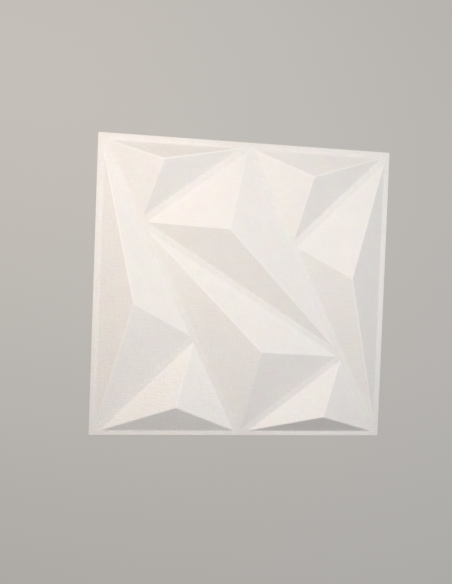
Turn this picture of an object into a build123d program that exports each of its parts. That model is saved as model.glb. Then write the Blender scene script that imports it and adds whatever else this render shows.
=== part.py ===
"""Square relief wall panel, formed from one thin plastic sheet.

The panel lies flat on its back: X and Y run along its sides, +Z points out of the wall.
Its origin is on the back plane, at the middle of the square.
"""
import os

from build123d import *

# Sheet
panel_side = 300.0
sheet_thickness = 1.0
corner_radius = 1.5

# Relief: eight low three-sided pyramids that fill a square, with flat valleys between their feet.
# The square lies this margin inside the sheet's sides. The slopes of each pyramid would meet at the relief
# height; rounding takes a little off that peak.
edge_margin = 2.5
relief_height = 16.0
valley_width = 6.6
ridge_radius = 2.0
half_pattern = panel_side / 2 - edge_margin

# The sheet is trimmed off centre: the middle of the relief lies this far below the middle of the panel,
# and this far right of it
relief_drop = 1.0
relief_shift = 0.4

# Two long straight valleys cross the square: the left one starts at the top left corner, and the right one
# ends at the bottom right corner, half a turn from it. Shorter valleys branch off them at these heights.
top_node_x = -0.3
left_node_y = 65.0
right_node_y = 48.3

# Where the peaks stand, from the middle of the relief
top_left_peak_x = -84.0
top_left_peak_y = 125.0
top_right_peak_x = 64.8
top_right_peak_y = 116.7
middle_peak_x = -18.0
middle_peak_y = 60.5
right_peak_x = 108.5
right_peak_y = 16.2


def turned(place):
    """The same place after half a turn of the relief."""
    return Vector(-place.X, -place.Y)


def on_valley(start, end, y):
    """The place at a given height on a straight valley."""
    return start + (end - start) * ((y - start.Y) / (end.Y - start.Y))


top_left_corner = Vector(-half_pattern, half_pattern)
top_right_corner = Vector(half_pattern, half_pattern)
top_node = Vector(top_node_x, half_pattern)
left_node = on_valley(top_left_corner, turned(top_node), left_node_y)
right_node = on_valley(top_node, turned(top_left_corner), right_node_y)
top_left_peak = Vector(top_left_peak_x, top_left_peak_y)
top_right_peak = Vector(top_right_peak_x, top_right_peak_y)
middle_peak = Vector(middle_peak_x, middle_peak_y)
right_peak = Vector(right_peak_x, right_peak_y)

# Each pyramid of the upper half: the corners of the field that it stands in, then its peak.
# The lower half repeats them after half a turn.
upper_pyramids = [
    ([top_left_corner, top_node, left_node], top_left_peak),
    ([top_node, top_right_corner, right_node], top_right_peak),
    ([top_node, turned(left_node), left_node], middle_peak),
    ([top_right_corner, turned(top_left_corner), right_node], right_peak),
]
lower_pyramids = [([turned(corner) for corner in field], turned(peak)) for field, peak in upper_pyramids]
pyramids = upper_pyramids + lower_pyramids


def foot_edges(field):
    """The straight edges of a pyramid's foot: its field, less half of the valley on each side."""
    with BuildSketch() as foot:
        with BuildLine():
            Polyline(*field, close=True)
        make_face()
        offset(amount=-valley_width / 2, kind=Kind.INTERSECTION)
    return foot.edges()


def slope_planes(field, peak):
    """One plane for each slope, through a foot edge and the peak, with its normal pointing outwards."""
    top = Vector(peak.X, peak.Y, relief_height)
    planes = []
    for edge in foot_edges(field):
        start = Vector(edge.position_at(0).X, edge.position_at(0).Y, sheet_thickness)
        end = Vector(edge.position_at(1).X, edge.position_at(1).Y, sheet_thickness)
        normal = (end - start).cross(top - start).normalized()
        if normal.Z < 0:
            normal = -normal
        planes.append(Plane(origin=top, z_dir=normal))
    return planes


def rounded_pyramid(field, peak, radius):
    """A pyramid above the back plane whose ridges have the given radius.

    A sharp core lies one ridge radius inside the outer slopes. Grown by the whole radius it gives the
    front of the sheet, and grown by less it gives a hollow that is concentric with that front.
    """
    root_depth = 2 * ridge_radius
    with BuildPart() as solid:
        with BuildSketch(Plane.XY.offset(-root_depth)):
            Rectangle(2 * panel_side, 2 * panel_side)
        extrude(amount=root_depth + relief_height)
        for plane in slope_planes(field, peak):
            split(bisect_by=plane.offset(-ridge_radius), keep=Keep.BOTTOM)
        offset(amount=radius, kind=Kind.ARC)
        split(bisect_by=Plane.XY, keep=Keep.TOP)
    return solid.part


# One sheet, formed over a mould: the back follows the front at one sheet thickness
with BuildPart() as relief_panel:
    with BuildSketch():
        RectangleRounded(panel_side, panel_side, corner_radius)
    extrude(amount=sheet_thickness)
    with Locations((relief_shift, -relief_drop)):
        add([rounded_pyramid(field, peak, ridge_radius) for field, peak in pyramids])
        add([rounded_pyramid(field, peak, ridge_radius - sheet_thickness) for field, peak in pyramids],
            mode=Mode.SUBTRACT)

relief_panel.part.label = "relief_panel"

os.makedirs("parts", exist_ok=True)
export_step(relief_panel.part, "parts/relief_panel.step")
print("volume", round(relief_panel.part.volume), "mm3")
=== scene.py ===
"""A square relief wall panel of matte white plastic, lying face up on a pale floor."""
import math
import bmesh
import bpy
import numpy as np
from mathutils import Matrix, Vector


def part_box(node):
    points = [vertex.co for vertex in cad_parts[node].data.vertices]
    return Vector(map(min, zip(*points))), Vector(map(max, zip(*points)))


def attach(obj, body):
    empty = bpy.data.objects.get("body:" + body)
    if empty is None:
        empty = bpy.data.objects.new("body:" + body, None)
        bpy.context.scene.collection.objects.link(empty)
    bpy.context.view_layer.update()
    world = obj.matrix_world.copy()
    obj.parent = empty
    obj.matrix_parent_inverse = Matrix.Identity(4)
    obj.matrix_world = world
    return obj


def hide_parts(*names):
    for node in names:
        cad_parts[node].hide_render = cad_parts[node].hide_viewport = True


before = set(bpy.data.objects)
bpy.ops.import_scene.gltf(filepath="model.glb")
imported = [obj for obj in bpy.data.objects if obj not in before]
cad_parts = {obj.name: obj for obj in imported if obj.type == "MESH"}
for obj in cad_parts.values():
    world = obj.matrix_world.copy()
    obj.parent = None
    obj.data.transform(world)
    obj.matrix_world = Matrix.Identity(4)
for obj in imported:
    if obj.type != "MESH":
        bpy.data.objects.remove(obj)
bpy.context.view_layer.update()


# The sheet
# One square of matte white PVC, about a millimetre thick, drawn down over a mould by vacuum while hot.
# Eight low three-sided pyramids fill a square on it with flat valleys between their feet, and the back
# follows the front. It is trimmed a little off centre, so the bottom rim is narrower than the top one.
MM = 0.001
panel_low, panel_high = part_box("relief_panel")
half_side = panel_high.x
sheet_thickness = 1.0 * MM
corner_radius = 1.5 * MM
edge_margin = 2.5 * MM
half_pattern = half_side - edge_margin
relief_height = 16.0 * MM
valley_width = 6.6 * MM
relief_middle = Vector((0.4, -1.0, 0)) * MM

# The mould's edges are soft: each height is the mean of the sharp form over a disc of this radius
softness = 0.9 * MM


def place(x, y):
    """A place on the mould, in millimetres from the middle of the relief."""
    return Vector((x * MM, y * MM, 0))


def turned(point):
    """The same place after half a turn of the relief."""
    return Vector((-point.x, -point.y, 0))


def on_valley(start, end, y):
    """The place at a given height on a straight valley."""
    return start.lerp(end, (y - start.y) / (end.y - start.y))


top_left_corner = Vector((-half_pattern, half_pattern, 0))
top_right_corner = Vector((half_pattern, half_pattern, 0))
top_node = Vector((-0.3 * MM, half_pattern, 0))
left_node = on_valley(top_left_corner, turned(top_node), 65.0 * MM)
right_node = on_valley(top_node, turned(top_left_corner), 48.3 * MM)
upper_pyramids = [
    ([top_left_corner, top_node, left_node], place(-84.0, 125.0)),
    ([top_node, top_right_corner, right_node], place(64.8, 116.7)),
    ([top_node, turned(left_node), left_node], place(-18.0, 60.5)),
    ([top_right_corner, turned(top_left_corner), right_node], place(108.5, 16.2)),
]
lower_pyramids = [([turned(corner) for corner in field], turned(peak)) for field, peak in upper_pyramids]
pyramids = upper_pyramids + lower_pyramids


def across(start, end, towards):
    """The level unit normal of a line, on the side of the given point."""
    normal = Vector((start.y - end.y, end.x - start.x, 0)).normalized()
    if normal.dot(towards - start) < 0:
        normal.negate()
    return normal


def cut(mesh, faces, point, normal, keep_both=True):
    """Cuts faces along an upright plane through a point; what lies on the normal's side may be dropped.

    The edges and corners are listed once each and in their order, so that each run cuts alike.
    """
    edges = dict.fromkeys(edge for face in faces for edge in face.edges)
    corners = dict.fromkeys(corner for face in faces for corner in face.verts)
    snap = 0.02 * MM
    bmesh.ops.bisect_plane(mesh, geom=[*faces, *edges, *corners], dist=snap, plane_co=point,
                           plane_no=normal, clear_outer=not keep_both)


def foot_corners(field, peak):
    """The corners of a pyramid's foot: its field, less half of the valley on each side."""
    mesh = bmesh.new()
    mesh.faces.new([mesh.verts.new(corner) for corner in field])
    for start, end in zip(field, field[1:] + field[:1]):
        inwards = across(start, end, peak)
        cut(mesh, mesh.faces, start + inwards * valley_width / 2, -inwards, keep_both=False)
    mesh.faces.ensure_lookup_table()
    corners = [corner.co.copy() for corner in mesh.faces[0].verts]
    mesh.free()
    return corners


feet = [foot_corners(field, peak) for field, peak in pyramids]


def sharp_height(x, y):
    """The mould's height at many places: each slope rises evenly from its foot line to the peak."""
    height = np.zeros_like(x)
    for corners, (field, peak) in zip(feet, pyramids):
        rise = np.full_like(x, np.inf)
        for start, end in zip(corners, corners[1:] + corners[:1]):
            inwards = across(start, end, peak)
            run = inwards.dot(peak - start)
            rise = np.minimum(rise, ((x - start.x) * inwards.x + (y - start.y) * inwards.y) / run)
        height = np.maximum(height, rise)
    return height * (relief_height - sheet_thickness)


def soft_height(x, y):
    """The mean of the sharp height over a small disc round each place."""
    rings = 3
    spokes = 12
    total = np.zeros_like(x)
    for ring in range(rings):
        reach = softness * math.sqrt((ring + 0.5) / rings)
        for spoke in range(spokes):
            angle = 2 * math.pi * spoke / spokes
            total += sharp_height(x + reach * math.cos(angle), y + reach * math.sin(angle))
    return total / (rings * spokes)


def valleys(field):
    """The sides of a pyramid's field that are valleys, and not a side of the whole pattern."""
    slack = 1.0 * MM
    sides = zip(field, field[1:] + field[:1])
    return [(start, end) for start, end in sides
            if max(abs(start.x + end.x), abs(start.y + end.y)) < 2 * half_pattern - slack]


def flat_fields():
    """The flat sheet before its trim, cut along the valleys, with each face numbered by its pyramid."""
    mesh = bmesh.new()
    spare = 2 * MM
    bmesh.ops.create_grid(mesh, x_segments=1, y_segments=1, size=half_side + spare)
    for field, peak in pyramids:
        for start, end in valleys(field):
            cut(mesh, mesh.faces, start, across(start, end, peak))
    number = mesh.faces.layers.int.new("pyramid")
    for face in mesh.faces:
        middle = face.calc_center_median()
        for index, (field, peak) in enumerate(pyramids):
            if all(across(start, end, peak).dot(middle - start) > 0 for start, end in valleys(field)):
                face[number] = index
    return mesh, number


def cut_beside(mesh, number, index, start, normal):
    """Cuts one pyramid's field along a line and on both sides of it, close enough for a soft edge."""
    shares_of_softness = (-1.6, -1.0, -0.5, 0.0, 0.5, 1.0, 1.6)
    for share in shares_of_softness:
        faces = [face for face in mesh.faces if face[number] == index]
        cut(mesh, faces, start + normal * share * softness, normal)


def trim(mesh):
    """Trims the sheet to its square, with small round corners."""
    steps = 24
    for step in range(steps):
        angle = 2 * math.pi * step / steps
        outwards = Vector((math.cos(angle), math.sin(angle), 0))
        arc_middle = Vector((math.copysign(half_side - corner_radius, outwards.x),
                             math.copysign(half_side - corner_radius, outwards.y), 0))
        cut(mesh, mesh.faces, arc_middle + outwards * corner_radius, outwards, keep_both=False)


def formed_sheet():
    """The whole sheet: cut flat, trimmed, lifted to the mould's height and given its thickness.

    Its attribute of painted light is 0 at the trimmed edge, a quarter in the valleys, a half on the
    slopes and
    1 along the crests: low values paint shade on the rim and in the valleys, and 1 paints a highlight on
                        the crests.
    """
    mesh, number = flat_fields()
    for index, (field, peak) in enumerate(pyramids):
        corners = feet[index]
        for start, end in zip(corners, corners[1:] + corners[:1]):
            cut_beside(mesh, number, index, start, across(start, end, peak))
            cut_beside(mesh, number, index, start, across(start, peak, end))
    bmesh.ops.translate(mesh, verts=mesh.verts, vec=relief_middle)
    trim(mesh)
    merge_distance = 0.01 * MM
    bmesh.ops.remove_doubles(mesh, verts=mesh.verts, dist=merge_distance)
    places = np.array([corner.co for corner in mesh.verts])
    x, y = places[:, 0] - relief_middle.x, places[:, 1] - relief_middle.y
    heights = soft_height(x, y)
    full_slope = 0.3 * MM
    full_crest = 0.15 * MM
    rim_foot = half_pattern - valley_width / 2
    off_rim = np.clip((half_side - np.maximum(abs(x), abs(y))) / (half_side - rim_foot), 0, 1)
    on_slope = np.clip(heights / full_slope, 0, 1)
    on_crest = np.clip((sharp_height(x, y) - heights) / full_crest, 0, 1)
    # Painted light: this attribute paints shade on the rim and in the valleys and a highlight along the
    # crests.
    painted_shade_and_highlight = mesh.verts.layers.float.new("painted_shade_and_highlight")
    for corner, height, share in zip(mesh.verts, heights, off_rim / 4 + on_slope / 4 + on_crest / 2):
        corner.co.z = sheet_thickness + height
        corner[painted_shade_and_highlight] = share
    mesh.normal_update()
    bmesh.ops.solidify(mesh, geom=mesh.faces, thickness=sheet_thickness)
    bmesh.ops.recalc_face_normals(mesh, faces=mesh.faces)
    return mesh


def add_piece(name, mesh):
    """Makes an object at the origin from a finished bmesh."""
    data = bpy.data.meshes.new(name)
    mesh.to_mesh(data)
    mesh.free()
    piece = bpy.data.objects.new(name, data)
    bpy.context.scene.collection.objects.link(piece)
    return piece


def linear(hex_colour):
    """An sRGB hex colour as the linear values that a shader takes."""
    values = [int(hex_colour[first:first + 2], 16) / 255 for first in (1, 3, 5)]
    return [v / 12.92 if v <= 0.04045 else ((v + 0.055) / 1.055) ** 2.4 for v in values] + [1]


def node(material, kind, settings=None, links=None):
    """Adds a node to a material or world. A setting is a field or a socket, and a link feeds a socket."""
    made = material.node_tree.nodes.new(kind)
    for key, value in (settings or {}).items():
        if isinstance(key, str) and hasattr(made, key):
            setattr(made, key, value)
        else:
            made.inputs[key].default_value = value
    for key, source in (links or {}).items():
        material.node_tree.links.new(source, made.inputs[key])
    return made


def linen_embossed_pvc():
    """Calendered PVC film, its matte side embossed like linen: a soft sheen over short crossed strokes.

    The embossing roller left strokes about 0.5 mm wide. They are drawn three times as wide, as finer ones
    would not show. The film's colour carries painted light: painted shade makes it greyest at the rim and
    paler on the slopes, and a painted highlight makes it palest along the crests.
    """
    material = bpy.data.materials.new("linen_embossed_pvc")
    material.use_nodes = True
    material.node_tree.nodes.clear()
    where = node(material, "ShaderNodeTexCoord").outputs["Object"]

    stroke_width = 1.5 * MM
    stroke_length = 9.0 * MM
    stroke_depth = 0.22 * MM
    layers = []
    for size_x, size_y in ((stroke_width, stroke_length), (stroke_length, stroke_width)):
        scaled = node(material, "ShaderNodeMapping", {"Scale": (1 / size_x, 1 / size_y, 0)},
                      {"Vector": where})
        layers.append(node(material, "ShaderNodeTexNoise", {"Scale": 1.0, "Detail": 1.0},
                           {"Vector": scaled.outputs["Vector"]}))
    strokes = node(material, "ShaderNodeMath", {"operation": "ADD"},
                   {0: layers[0].outputs["Fac"], 1: layers[1].outputs["Fac"]})
    stroke_bump = node(material, "ShaderNodeBump", {"Strength": 1.0, "Distance": stroke_depth},
                       {"Height": strokes.outputs[0]})
    grain_size = 1.0 * MM
    grain_depth = 0.10 * MM
    grain = node(material, "ShaderNodeTexNoise", {"Scale": 1 / grain_size, "Detail": 2.0},
                 {"Vector": where})
    grain_bump = node(material, "ShaderNodeBump", {"Strength": 1.0, "Distance": grain_depth},
                      {"Height": grain.outputs["Fac"], "Normal": stroke_bump.outputs["Normal"]})

    # Painted shade and highlight: this ramp darkens the film on the rim and in the valleys and lightens
    # it along the crests.
    painted_shade_and_highlight = node(material, "ShaderNodeAttribute", {"attribute_name": "painted_shade_and_highlight"})
    film = node(material, "ShaderNodeValToRGB", links={"Fac": painted_shade_and_highlight.outputs["Fac"]})
    film.color_ramp.elements[0].color = linear("#E3E0DC")
    film.color_ramp.elements[1].color = linear("#F5F3F0")
    film.color_ramp.elements.new(0.5).color = linear("#EDEAE6")
    cloud_size = 16 * MM
    cloud_tint = 0.28
    stroke_shade = 0.05
    clouds = node(material, "ShaderNodeTexNoise", {"Scale": 1 / cloud_size, "Detail": 3.0},
                  {"Vector": where})
    tinted = node(material, "ShaderNodeMix",
                  {"data_type": "RGBA", "blend_type": "SOFT_LIGHT", 0: cloud_tint},
                  {6: film.outputs["Color"], 7: clouds.outputs["Color"]})
    shaded = node(material, "ShaderNodeMix",
                  {"data_type": "RGBA", "blend_type": "MULTIPLY", 0: stroke_shade},
                  {6: tinted.outputs[2], 7: strokes.outputs[0]})
    roughness = node(material, "ShaderNodeMapRange", {"To Min": 0.50, "To Max": 0.62},
                     {"Value": clouds.outputs["Fac"]})
    shader = node(material, "ShaderNodeBsdfPrincipled", {"IOR": 1.53}, {
        "Base Color": shaded.outputs[2],
        "Roughness": roughness.outputs["Result"],
        "Normal": grain_bump.outputs["Normal"],
    })
    node(material, "ShaderNodeOutputMaterial", links={"Surface": shader.outputs["BSDF"]})
    return material


sheet_mesh = formed_sheet()
trimmed_angle = math.radians(40)
for face in sheet_mesh.faces:
    face.smooth = True
for edge in sheet_mesh.edges:
    if edge.is_manifold and edge.calc_face_angle() > trimmed_angle:
        edge.smooth = False
sheet = add_piece("formed_sheet", sheet_mesh)
sheet.data.materials.append(linen_embossed_pvc())
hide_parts("relief_panel")
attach(sheet, "root")


# The floor
# A plain pale studio floor of matte painted board. It lies a hair below the sheet, so that the two faces
# don't meet.
floor_size = 6.0
floor_gap = 0.1 * MM


def shown(material):
    """A value of 1 for what the eye sees, straight or in a reflection or through glass, and else 0."""
    ray = node(material, "ShaderNodeLightPath")
    seen = node(material, "ShaderNodeMath", {"operation": "MAXIMUM"},
                {0: ray.outputs["Is Camera Ray"], 1: ray.outputs["Is Glossy Ray"]})
    through = node(material, "ShaderNodeMath", {"operation": "MAXIMUM"},
                   {0: seen.outputs[0], 1: ray.outputs["Is Transmission Ray"]})
    return through.outputs[0]


def painted_board():
    """Board under matte emulsion paint: even and pale, with no gloss.

    To the eye and in reflections half of its tone comes from lamps and half is its own, so that it stays
    pale far from them. It throws little light back on the sheet's edges.
    """
    material = bpy.data.materials.new("painted_board")
    material.use_nodes = True
    material.node_tree.nodes.clear()
    shows = shown(material)
    own_share = 0.45
    paint = node(material, "ShaderNodeMix",
                 {"data_type": "RGBA", 6: linear("#3C3B3A"), 7: linear("#8D8B88")}, {0: shows})
    glow = node(material, "ShaderNodeMath", {"operation": "MULTIPLY", 1: own_share}, {0: shows})
    shader = node(material, "ShaderNodeBsdfPrincipled",
                  {"Roughness": 0.9, "Emission Color": linear("#BFBDB9")},
                  {"Base Color": paint.outputs[2], "Emission Strength": glow.outputs[0]})
    node(material, "ShaderNodeOutputMaterial", links={"Surface": shader.outputs["BSDF"]})
    return material


floor_mesh = bmesh.new()
bmesh.ops.create_grid(floor_mesh, x_segments=1, y_segments=1, size=floor_size / 2)
bmesh.ops.translate(floor_mesh, verts=floor_mesh.verts, vec=(0, 0, -floor_gap))
floor = add_piece("floor", floor_mesh)
floor.data.materials.append(painted_board())


# Light
# A warm soft lamp hangs over the top left corner of the sheet and a cooler one, higher up, right of its
# middle, so that the slopes that face each of them take its colour.
def add_lamp(name, location, power, colour):
    """A square area lamp turned towards the middle of the sheet."""
    data = bpy.data.lights.new(name, "AREA")
    data.shape = "SQUARE"
    data.size = 0.30
    data.energy = power
    data.color = linear(colour)[:3]
    lamp = bpy.data.objects.new(name, data)
    lamp.location = location
    lamp.rotation_euler = Vector(location).to_track_quat("Z", "Y").to_euler()
    bpy.context.scene.collection.objects.link(lamp)


add_lamp("warm_lamp", location=(-0.36, 0.27, 0.60), power=3.22, colour="#FFF3E7")
add_lamp("cool_lamp", location=(0.40, 0.12, 1.00), power=6.30, colour="#F4F7FD")

# The room throws back a little of their light. To the eye it is a plain grey, close to the far floor's.
surround = bpy.data.worlds.new("surround")
surround.use_nodes = True
surround.node_tree.nodes.clear()
room = node(surround, "ShaderNodeMapRange", {"To Min": 0.08, "To Max": 0.30}, {"Value": shown(surround)})
sky = node(surround, "ShaderNodeBackground", {"Color": linear("#FFFFFF")},
           {"Strength": room.outputs["Result"]})
node(surround, "ShaderNodeOutputWorld", links={"Surface": sky.outputs["Background"]})
bpy.context.scene.world = surround


# Camera
# It looks down from about 42 cm, a little left of the middle, and is turned slightly about its own axis.
image_height = 584
focal_length_px = 412.0
camera_place = Vector((-59.4, 3.3, 419.4)) * MM
camera_target = Vector((-17.8, -3.0, 0)) * MM
camera_roll = math.radians(2.14)
camera_data = bpy.data.cameras.new("camera")
camera_data.sensor_width = 36.0
camera_data.lens = focal_length_px * camera_data.sensor_width / image_height
camera = bpy.data.objects.new("camera", camera_data)
back = (camera_place - camera_target).normalized()
right = Vector((0, 1, 0)).cross(back).normalized()
level_view = Matrix((right, back.cross(right), back)).transposed()
rolled_view = level_view @ Matrix.Rotation(camera_roll, 3, "Z")
camera.matrix_world = Matrix.Translation(camera_place) @ rolled_view.to_4x4()
bpy.context.scene.collection.objects.link(camera)
bpy.context.scene.camera = camera
bpy.context.scene.view_settings.view_transform = "Standard"
